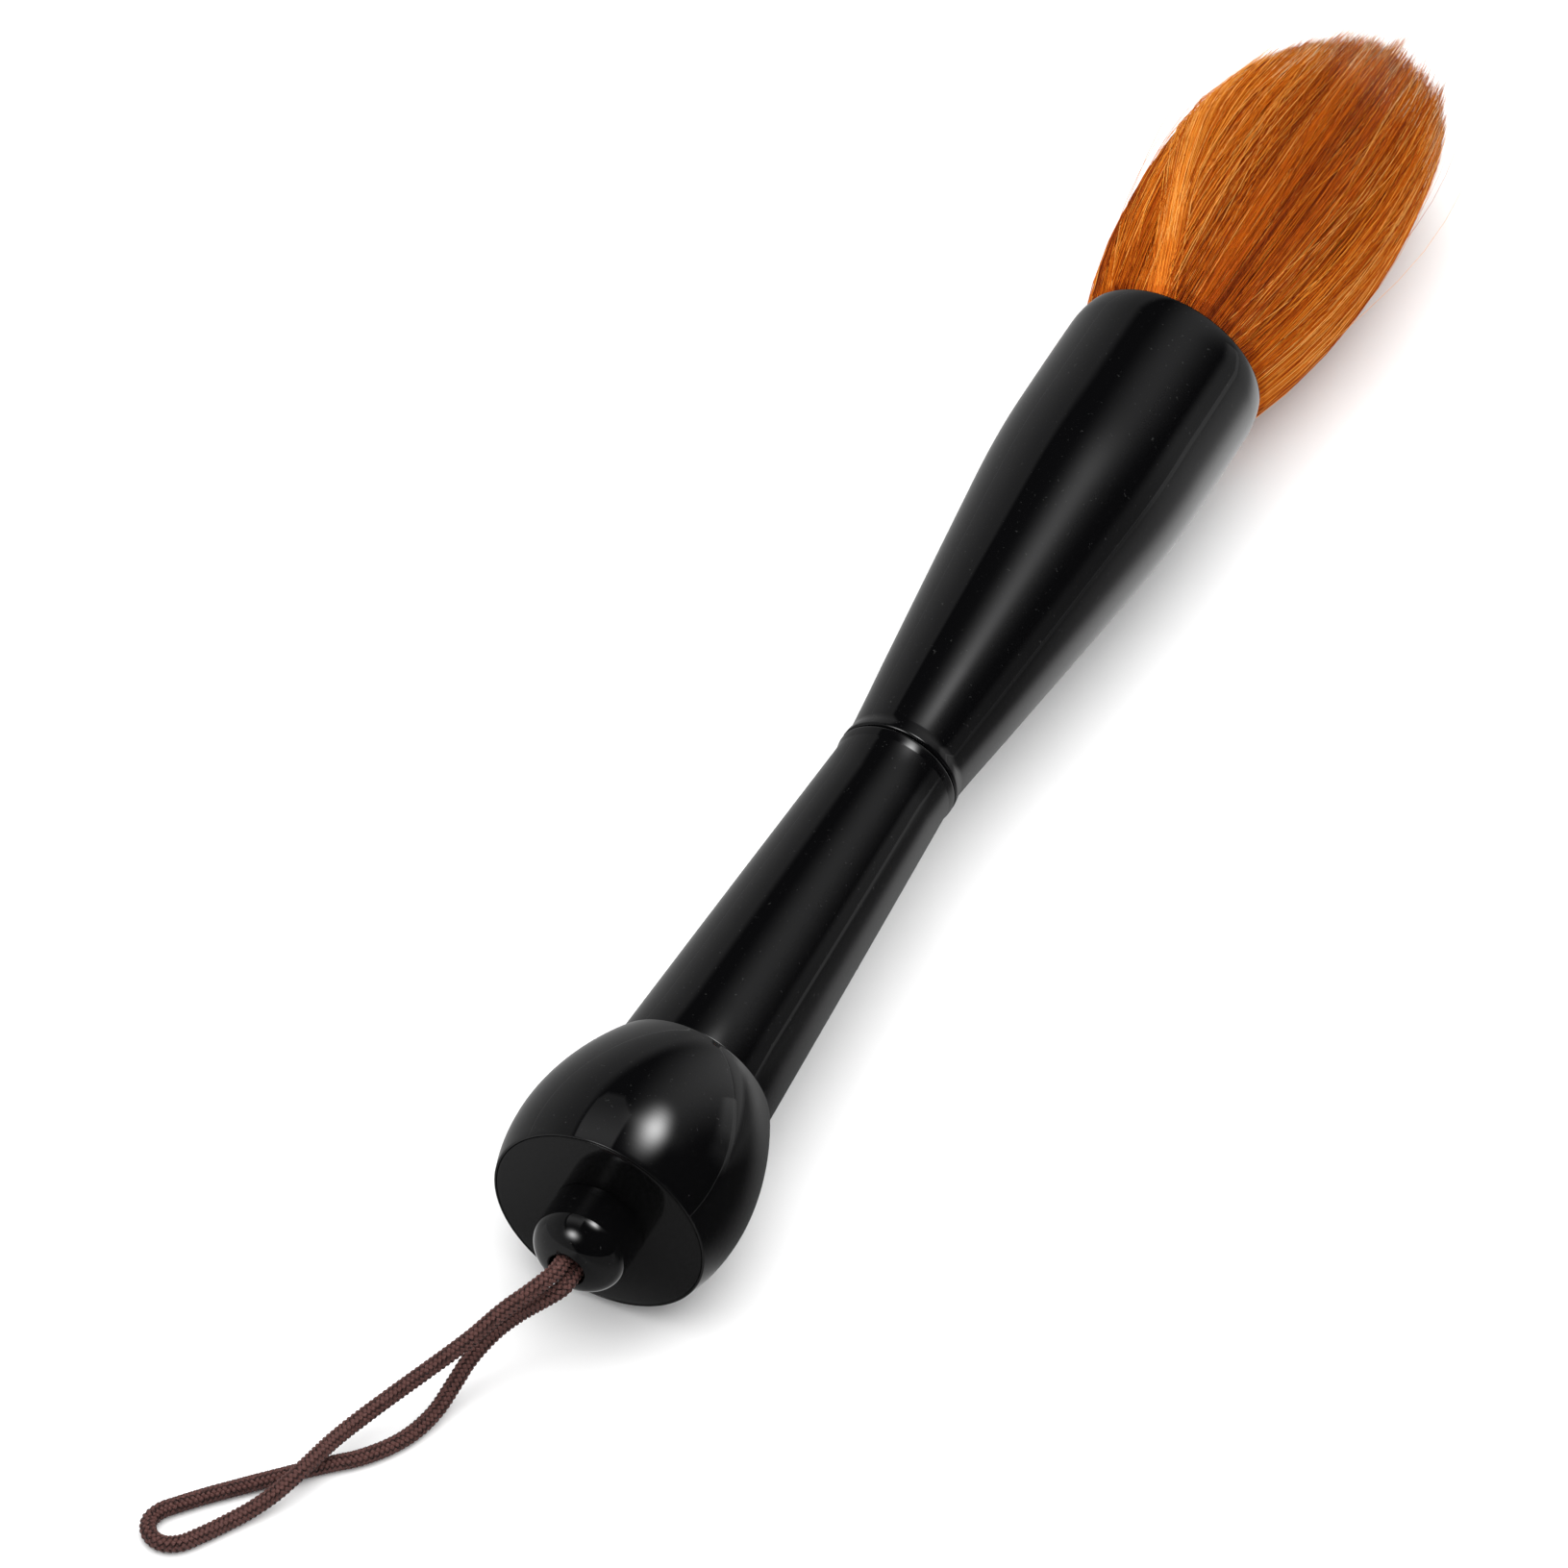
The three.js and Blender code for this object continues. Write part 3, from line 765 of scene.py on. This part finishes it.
def strand_mesh(name, lines, widths, shades, materials):
    """Hairs as three-sided tubes that end in a point. lines is hairs x rings x 3. The polish
    leaves them out of its reflections."""
    hairs, rings, _ = lines.shape
    along = np.gradient(lines, axis=1)
    along /= np.linalg.norm(along, axis=2, keepdims=True)
    outward = lines * np.array([1.0, 0.0, 1.0])
    outward /= np.maximum(np.linalg.norm(outward, axis=2, keepdims=True), 1e-6)
    side = np.cross(along, outward)
    side /= np.maximum(np.linalg.norm(side, axis=2, keepdims=True), 1e-6)
    outward = np.cross(side, along)
    sides = STRAND_SIDES
    angles = 2 * math.pi * np.arange(sides) / sides + math.pi / 2
    body = lines[:, :-1, None, :] + widths[:, :-1, None, None] * (
        np.cos(angles)[None, None, :, None] * side[:, :-1, None, :]
        + np.sin(angles)[None, None, :, None] * outward[:, :-1, None, :]
    )
    body = body.reshape(hairs, (rings - 1) * sides, 3)
    points = np.concatenate([body, lines[:, -1:, :]], axis=1)
    per_hair = points.shape[1]
    first = (np.arange(hairs) * per_hair)[:, None, None, None]
    ring = (np.arange(rings - 2) * sides)[None, :, None, None]
    near = np.arange(sides)
    far = (near + 1) % sides
    quad = np.stack([near, far, far + sides, near + sides], axis=1)[None, None]
    quads = (first + ring + quad).reshape(-1, 4)
    point_index = per_hair - 1
    tip_ring = (rings - 2) * sides
    tips = np.stack([tip_ring + near, tip_ring + far, np.full(sides, point_index)], axis=1)
    caps = np.array([[2, 1, 0]])
    triangles = (first[:, 0] + np.concatenate([tips, caps])[None]).reshape(-1, 3)
    quad_shades = np.repeat(shades[:, : rings - 2].reshape(-1), sides)
    tip_shades = np.repeat(shades[:, rings - 2], sides)
    end_shades = np.concatenate([tip_shades.reshape(hairs, sides), shades[:, :1]], axis=1)
    piece = quad_mesh(
        name, place(points.reshape(-1, 3)), quads, triangles, materials,
        np.concatenate([quad_shades, end_shades.reshape(-1)]),
    )
    piece.visible_glossy = False
    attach(piece, BRUSH)
    return piece


def grow(angle, depth, lock_angle, lock_depth, pinch, wander, length_change, skew):
    """Centrelines of hairs, and how far along each of their points lies. A lock has an angle
    round the axis and a depth, 0 on the axis and 1 at the skin, and angle and depth place each
    hair in it. The hairs draw together by pinch towards the tips, stray by wander and slant by
    skew. The tips lie on a slanted dome, longest on the right."""
    share = 1.0 - (1.0 - np.linspace(0.0, 1.0, STRAND_RINGS + 1)[None, :]) ** 1.3
    on_top = np.clip(np.sin(lock_angle), 0.0, 1.0)
    drop = DROP - LONGER_RIGHT * np.cos(lock_angle) - LONGER_ON_TOP * on_top
    tip = TIP - drop * np.clip(lock_depth + depth, 0.0, 1.05) ** 1.6 + length_change
    y = ROOT + (tip[:, None] - ROOT) * share
    close = 1.0 - pinch[:, None] * smooth_step(0.3, 1.0, share)
    turn = lock_angle[:, None] + angle[:, None] * close
    turn = turn + wander[:, :1] * np.sin(math.pi * share * wander[:, 1:2] + wander[:, 2:3]) * share
    turn = turn + skew[:, None] * (share - 0.35)
    depths = lock_depth[:, None] + depth[:, None] * close
    on_left = np.clip(-np.cos(turn), 0.0, 1.0)
    drawn_in = LEFT_TAPER * on_left * smooth_step(LEFT_FROM, LEFT_TO, y)
    radius = depths * flow_radius(y) * (1.0 - drawn_in)
    x, z = radius * np.cos(turn), radius * np.sin(turn)
    low = np.minimum(z + FLOOR_LIMIT - 0.6, 0.0)
    z = z - low + 0.6 * np.tanh(low / 1.2)
    lean = LEAN * ((y - ROOT) / (TIP - ROOT)) ** 2
    return np.stack([x + lean, y, z], axis=2), share


def hair_shades(share, base, tip_gain):
    """The shade of each stretch of each hair: painted shade darkens it at the cup, and it is pale in
    its last part.
    """
    # Painted shade: the hairs are darker near the cup, where the tuft is densest.
    value = base[:, None] - 0.18 * (1 - smooth_step(0.08, 0.34, share))
    value = value + tip_gain[:, None] * smooth_step(0.9, 1.0, share)
    index = np.clip(np.round(value * (HAIR_SHADES - 1)), 0, HAIR_SHADES - 1)
    return index[:, 1:].astype(int)


def hair_widths(count, share, low, high):
    """Half the thickness of each hair at each ring, thinner towards the tip."""
    width = RNG.uniform(low, high, count)[:, None]
    return width * (1.0 - 0.6 * share**3)


def draw_locks():
    """The tuft's locks: what each has in common over all its hairs."""
    angle = RNG.uniform(0.0, 2 * math.pi, LOCKS)
    at_skin = RNG.random(LOCKS) < SKIN_LOCKS
    skin_depth = RNG.uniform(0.94, 1.0, LOCKS)
    depth = np.where(at_skin, skin_depth, np.sqrt(RNG.uniform(0.02, 0.9, LOCKS)))
    spread = RNG.uniform(0.03, 0.09, LOCKS)
    # Painted shade: the locks are darker towards the middle of the top and on the left.
    from_middle = np.angle(np.exp(1j * (angle - TOP_ANGLE + 0.15)))
    middle = np.exp(-((from_middle / 0.5) ** 2))
    left = np.clip(-np.cos(angle), 0.0, 1.0)
    shade = np.clip(RNG.normal(0.53, 0.14, LOCKS) - 0.16 * middle - 0.12 * left, 0.1, PALEST)
    wander = RNG.normal(0.0, 0.06, LOCKS)
    tip = RNG.normal(0.0, 1.9, LOCKS)
    fanned = RNG.random(LOCKS) < 0.4
    fan = np.where(fanned, RNG.uniform(0.1, 0.8, LOCKS), 0.08)
    skew = np.where(np.sin(angle) > 0.0, fan * (angle - TOP_ANGLE), 0.0)
    return {
        "angle": angle, "depth": depth, "spread": spread, "shade": shade,
        "wander": wander, "tip": tip, "skew": skew,
    }


def grow_tuft_piece(name, locks, hairs, materials):
    """Hairs shared out at random among the locks. Some cross their lock, some are loose and
    longer, and some are paler or darker than the rest of it."""
    pick = RNG.integers(0, LOCKS, hairs)
    lock = {trait: values[pick] for trait, values in locks.items()}
    spread = lock["spread"] / np.clip(lock["depth"], 0.3, 1.0)
    angle = RNG.normal(0.0, 1.0, hairs) * spread
    depth = RNG.uniform(-0.10, 0.025, hairs)
    wander = np.stack(
        [
            lock["wander"] + RNG.normal(0.0, 0.022, hairs),
            RNG.uniform(0.8, 3.0, hairs),
            RNG.uniform(0.0, 2 * math.pi, hairs),
        ],
        axis=1,
    )
    crossing = RNG.random(hairs) < CROSSING_HAIRS
    skew = lock["skew"] + np.where(
        crossing, RNG.normal(0.0, 0.3, hairs), RNG.normal(0.0, 0.03, hairs)
    )
    loose = RNG.random(hairs) < LOOSE_HAIRS
    length_change = lock["tip"] + RNG.normal(0.0, 0.9, hairs)
    length_change = length_change + np.where(loose, RNG.gamma(1.5, 0.9, hairs), 0.0)
    lines, share = grow(
        angle, depth, lock["angle"], lock["depth"],
        RNG.uniform(-0.1, 0.75, hairs), wander, length_change, skew,
    )
    base = lock["shade"] + RNG.normal(0.0, 0.13, hairs)
    odd = RNG.random(hairs)
    base = base + np.where(odd < ODD_HAIRS, ODD_SHADE, 0.0)
    base = np.minimum(base - np.where(odd > 1.0 - ODD_HAIRS, ODD_SHADE, 0.0), PALEST)
    shades = hair_shades(share, base, RNG.uniform(0.0, 0.35, hairs))
    strand_mesh(name, lines, hair_widths(hairs, share, 0.035, 0.078), shades, materials)


def make_hair(materials):
    """The tuft's coat of locks, the pale lock across it and the stray hairs."""
    locks = draw_locks()
    for i in range(TUFT_PIECES):
        grow_tuft_piece(f"tuft_hair_{i + 1}", locks, HAIRS_IN_PIECE, materials)
    make_pale_lock(materials)
    make_stray_hairs(materials)


def make_pale_lock(materials):
    """A paler lock that lies across the others on the left and opens towards its tips."""
    hairs = 320
    start, turn = math.radians(92.0), math.radians(60.0)
    angle = RNG.normal(0.0, 0.06, hairs)
    depth = RNG.uniform(-0.01, 0.02, hairs)
    wander = np.stack([RNG.normal(0, 0.01, hairs), np.full(hairs, 1.2), np.zeros(hairs)], axis=1)
    lines, share = grow(
        angle, depth, np.full(hairs, start + turn * 0.35), np.full(hairs, 0.995),
        RNG.uniform(-3.0, -1.0, hairs), wander, RNG.normal(0.0, 1.6, hairs),
        turn + RNG.normal(0.0, 0.12, hairs),
    )
    base = np.clip(RNG.normal(0.65, 0.12, hairs), 0.35, 0.82)
    shades = hair_shades(share, base, RNG.uniform(0.05, 0.2, hairs))
    strand_mesh("tuft_pale_lock", lines, hair_widths(hairs, share, 0.04, 0.08), shades, materials)


def make_stray_hairs(materials):
    """Single hairs that stand off the tuft."""
    hairs = 90
    angle = RNG.uniform(-0.3, math.pi + 0.5, hairs)
    wander = np.stack(
        [RNG.normal(0, 0.08, hairs), RNG.uniform(1, 3, hairs), RNG.uniform(0, 6, hairs)], axis=1
    )
    lines, share = grow(
        np.zeros(hairs), RNG.uniform(0.0, 0.02, hairs), angle, np.full(hairs, 0.99),
        np.zeros(hairs), wander, RNG.normal(0.0, 4.0, hairs), RNG.normal(0.0, 0.2, hairs),
    )
    away = 1.0 + RNG.gamma(1.3, 0.035, hairs)[:, None] * smooth_step(0.25, 1.0, share)
    lines = lines * np.stack([away, np.ones_like(away), away], axis=2)
    lines[:, :, 2] = np.maximum(lines[:, :, 2], -FLOOR_LIMIT)
    shades = hair_shades(share, RNG.uniform(0.35, 0.8, hairs), np.full(hairs, 0.2))
    strand_mesh("stray_hairs", lines, hair_widths(hairs, share, 0.03, 0.05), shades, materials)


def make_tuft_body(dark):
    """What lies between the hairs: a dark body a little inside the skin of the tuft, hollow for the
    core hair. Its dark is painted shade, the shade deep among the hairs."""
    share_of_skin, inside_cup = 0.93, 14.3
    outline = [(12.1, 167.4), (12.1, 173.4), (13.6, ROOT)]
    for y in np.linspace(189.0, 242.0, 28):
        radius = share_of_skin * float(flow_radius(np.array(y)))
        if y < CUP_MOUTH:
            radius = min(radius, inside_cup)
        outline.append((radius, y))
    last, end, hollow_end = outline[-1], 252.0, 251.3
    outline += curve(last, (last[0] - 1.2, 248.0), (9.0, end), (0.0, end))
    outline.append((0.0, hollow_end))
    outline += curve((0.0, hollow_end), (7.0, 251.0), (12.9, 240.0), (12.9, 224.0))
    outline += curve((12.9, 224.0), (12.9, 205.0), (9.0, 190.0), (7.7, 167.4))
    body = revolve("tuft_body", outline, dark, around=96)
    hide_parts("hair_cover")


def tuft_body_material():
    # Painted shade: the dark, streaked colour of the hair deep in the tuft.
    material, tree, shader = new_material(
        "hair_shadow", (0.20, 0.045, 0.004), 0.8, Specular_IOR_Level=0.05
    )
    streaks = noise(tree, coordinates(tree, (1.0, 0.03, 1.0)), 1400.0, 3.0)
    paint(tree, shader, streaks, [(0.35, (0.12, 0.021, 0.002)), (0.65, (0.30, 0.072, 0.006))])
    bump(tree, shader, streaks, 0.6, 0.0002)
    return material


# ------------------------------------------------------------------ carried-over CAD nodes


def dress_nodes(finishes):
    """The CAD nodes that no piece stands for get a material each."""
    for node, (material, slot) in finishes.items():
        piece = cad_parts[node]
        piece.data.materials.clear()
        piece.data.materials.append(material)


# ------------------------------------------------------------------ studio


def make_floor():
    """A round pale floor, wide enough to fill every view."""
    radius = 9.0
    turns = np.linspace(0.0, 2 * math.pi, 96, endpoint=False)
    points = [(radius * math.cos(t), radius * math.sin(t), 0.0) for t in turns]
    mesh = bpy.data.meshes.new("floor")
    mesh.from_pydata(points, [], [tuple(range(len(points)))])
    mesh.materials.append(floor_material())
    floor = bpy.data.objects.new("floor", mesh)
    bpy.context.collection.objects.link(floor)


def area_light(name, direction, distance, size, radiance):
    """A square panel light that faces the brush, its power worked out from its radiance. Its
    own image stays out of the polish, where the world and the glow cards take its place."""
    data = bpy.data.lights.new(name, "AREA")
    data.shape = "SQUARE"
    data.size = size
    data.energy = math.pi * size * size * radiance
    light = bpy.data.objects.new(name, data)
    way = Vector(direction).normalized()
    light.location = way * distance
    light.rotation_euler = way.to_track_quat("Z", "Y").to_euler()
    light.visible_camera = False
    light.visible_glossy = False
    bpy.context.collection.objects.link(light)


def glow_material(name, clear):
    """An emission material that adds to what is behind it, if clear, or else hides it, with its
    tree and its strength socket."""
    material = bpy.data.materials.new(name)
    material.use_nodes = True
    tree = material.node_tree
    tree.nodes.clear()
    output = tree.nodes.new("ShaderNodeOutputMaterial")
    emission = tree.nodes.new("ShaderNodeEmission")
    shown = emission.outputs["Emission"]
    if clear:
        both = tree.nodes.new("ShaderNodeAddShader")
        through = tree.nodes.new("ShaderNodeBsdfTransparent")
        tree.links.new(shown, both.inputs[0])
        tree.links.new(through.outputs["BSDF"], both.inputs[1])
        shown = both.outputs["Shader"]
    tree.links.new(shown, output.inputs["Surface"])
    return material, tree, emission.inputs["Strength"]


def make_glow_card(name, middle, half, material, upright=False):
    """A square card, level or upright across x, that only shows in reflections."""
    mesh = bpy.data.meshes.new(name)
    corners = [(-half, -half), (half, -half), (half, half), (-half, half)]
    points = [(0.0, a, b) if upright else (a, b, 0.0) for a, b in corners]
    mesh.from_pydata(points, [], [(0, 1, 2, 3)])
    mesh.materials.append(material)
    card = bpy.data.objects.new(name, mesh)
    card.location = middle
    for kind in ("camera", "diffuse", "shadow", "transmission", "volume_scatter"):
        setattr(card, f"visible_{kind}", False)
    bpy.context.collection.objects.link(card)


def make_lamp_glow():
    """The soft lamp high over the bulb, whose round image lies on the bulb's shoulder."""
    material, tree, strength = glow_material("lamp_glow", clear=True)
    lamp = bell(tree, coordinates(tree), (0.0, 0.0, 0.0), (0.041, 0.050, 1.0), 19.0)
    tree.links.new(lamp, strength)
    make_glow_card("lamp_card", (0.099, 0.012, 0.33), 0.3, material)


def make_panel_glow():
    """The wide dim panel over the butt's left side, which only the bulb and the disc can see.
    Its edges are set by the direction they lie in from the bulb's middle."""
    material, tree, strength = glow_material("panel_glow", clear=True)
    middle = Vector((0.0, BUTT_Y + 0.012, AXIS_Z))
    height = 0.16
    from_bulb = vector_math(tree, "ADD", coordinates(tree), (0.0, 0.0, height - middle.z))
    x, y, z = axes(tree, vector_math(tree, "NORMALIZE", from_bulb))
    far = calculate(tree, "SUBTRACT", 0.50, y)
    slanted = calculate(tree, "ADD", calculate(tree, "MULTIPLY", x, 0.74), y)
    slant = calculate(tree, "SUBTRACT", 0.295, slanted)
    far_left = calculate(tree, "SUBTRACT", x, calculate(tree, "SUBTRACT", y, 1.0))
    right = calculate(tree, "SUBTRACT", -0.05, x)
    left = calculate(tree, "ADD", calculate(tree, "MULTIPLY", x, 1.05), z, -0.10)
    inside = calculate(tree, "MINIMUM", far, slant, far_left, right, left)
    panel = calculate(
        tree, "MULTIPLY",
        to_range(tree, inside, 0.0, 1.0, 0.0, 0.05, smooth=True),
        to_range(tree, y, 0.27, 0.80, 0.45, 0.0, smooth=True),
        to_range(tree, y, 0.1, 1.0, -0.5, 0.0, smooth=True),
    )
    tree.links.new(panel, strength)
    make_glow_card("panel_card", (middle.x, middle.y, height), 0.5, material)


def make_wall_glow():
    """A low wall on the right, which begins beside the handle and is brightest by the cup."""
    material, tree, strength = glow_material("wall_glow", clear=True)
    _, y, z = axes(tree, coordinates(tree))
    beside_handle = to_range(tree, y, 0.0, 0.17, 0.06, 0.12)
    beside_cup = to_range(tree, y, 0.0, 0.23, 0.16, 0.24)
    along = calculate(tree, "ADD", beside_handle, beside_cup)
    top = to_range(tree, z, 1.0, 0.0, 0.09, 0.17, smooth=True)
    tree.links.new(calculate(tree, "MULTIPLY", along, top), strength)
    make_glow_card("wall_card", (0.3, 0.0, 0.0), 0.5, material, upright=True)


def make_table_glow():
    """How the table looks in the polish: it shines less than its white shows, least of all by
    the bulb's right side and most under the cup and in front of the butt."""
    material, tree, strength = glow_material("table_glow", clear=False)
    spot = coordinates(tree)
    x, y, _ = axes(tree, spot)
    left = to_range(tree, x, 0.0, 0.40, 0.0, -0.03)
    beyond = calculate(tree, "SUBTRACT", y, calculate(tree, "MULTIPLY", x, 0.55))
    rise = calculate(
        tree, "ADD",
        to_range(tree, beyond, 0.03, 0.19, 0.03, 0.06),
        to_range(tree, beyond, 0.0, 0.42, 0.11, 0.17),
    )
    right = calculate(
        tree, "MULTIPLY",
        to_range(tree, x, 0.0, 1.0, 0.0, 0.03),
        to_range(tree, x, 1.0, 0.55, 0.06, 0.4),
        rise,
    )
    beside = calculate(
        tree, "MULTIPLY",
        bell(tree, spot, (0.027, 0.0, 0.0), (0.012, 1000.0, 1000.0), 1.0),
        to_range(tree, y, 0.11, 0.90, 0.02, 0.18, smooth=True),
    )
    front = to_range(tree, y, 0.0, 0.22, 0.01, -0.02, smooth=True)
    under = bell(tree, spot, (-0.002, 0.004, 0.0), (0.02, 0.005, 1000.0), 0.9)
    tree.links.new(calculate(tree, "ADD", left, right, beside, front, under), strength)
    make_glow_card("table_card", (0.0, BUTT_Y, 0.0005), 3.0, material)


BACKDROP = 1.0  # the white behind the brush, as the camera sees it
AMBIENT = 0.85  # the even light that everything but the polish gets


def make_world():
    """A dark studio as the polish sees it, with a white wall on the left, a long dim strip over
    the brush, a dim patch above the cup and a lamp in front. All else gets an even, soft light.
    Directions are unit vectors."""
    world = bpy.data.worlds.new("studio")
    bpy.context.scene.world = world
    world.use_nodes = True
    tree = world.node_tree
    way = tree.nodes.new("ShaderNodeTexCoord").outputs["Generated"]
    x, y, z = axes(tree, way)

    left_depth = calculate(tree, "SUBTRACT", calculate(tree, "MULTIPLY", x, -1.05), z)
    sharp = to_range(tree, y, 2.0, 1.0, 0.4, 0.55)
    left_edge = calculate(tree, "MULTIPLY", left_depth, sharp)
    left_wall = to_range(tree, left_edge, 0.0, 0.30, -0.12, 0.14, smooth=True)
    left_foot = to_range(tree, left_depth, 0.0, 0.12, 0.1, 0.8, smooth=True)

    strip = calculate(
        tree, "MULTIPLY",
        to_range(tree, x, 0.0, 0.58, -0.30, 0.25, smooth=True),
        to_range(tree, x, 1.0, 0.0, 0.28, 0.74, smooth=True),
        to_range(tree, y, 0.0, 1.0, 0.22, 0.50, smooth=True),
    )
    above_cup = bell(tree, way, (0.18, 0.40, 0.88), (0.17, 0.06, 0.4), 1.1)
    front_lamp = bell(tree, way, (-0.27, -0.74, 0.61), (0.12, 0.12, 0.12), 16.0)
    seen = calculate(tree, "ADD", left_wall, left_foot, strip, above_cup, front_lamp)

    rays = tree.nodes.new("ShaderNodeLightPath")
    polish = rays.outputs["Is Glossy Ray"]
    rest = calculate(tree, "MULTIPLY", calculate(tree, "SUBTRACT", 1.0, polish), AMBIENT)
    light = calculate(tree, "ADD", calculate(tree, "MULTIPLY", seen, polish), rest)
    backdrop = calculate(tree, "MULTIPLY", rays.outputs["Is Camera Ray"], BACKDROP)
    background = tree.nodes["Background"]
    tree.links.new(calculate(tree, "MAXIMUM", light, backdrop), background.inputs["Strength"])
    background.inputs["Color"].default_value = (1.0, 1.0, 1.0, 1.0)


# ------------------------------------------------------------------ the scene

make_camera()
make_cord(yarn_materials())

lacquer = lacquer_material()
make_bulb(lacquer)
make_disc(disc_material())
make_peg(lacquer)
make_handle(lacquer)
make_cup(lacquer)

hair = hair_materials()
make_tuft_body(tuft_body_material())
make_hair(hair)

dress_nodes(
    {
        "hair_core": (hair[6], "core_hair"),
        "root_binding": (thread_material(), "binding_thread"),
        "root_resin_disc": (resin_material(), "root_resin"),
        "neck_dowel": (wood_material(), "dowel_wood"),
    }
)

make_floor()
make_world()
make_lamp_glow()
make_panel_glow()
make_wall_glow()
make_table_glow()
area_light("overhead", (0.05, 0.0, 1.0), 2.0, 3.0, 2.3)
area_light("key", (-0.31, -0.67, 0.67), 1.8, 0.9, 0.6)
bpy.context.scene.view_settings.view_transform = "Standard"
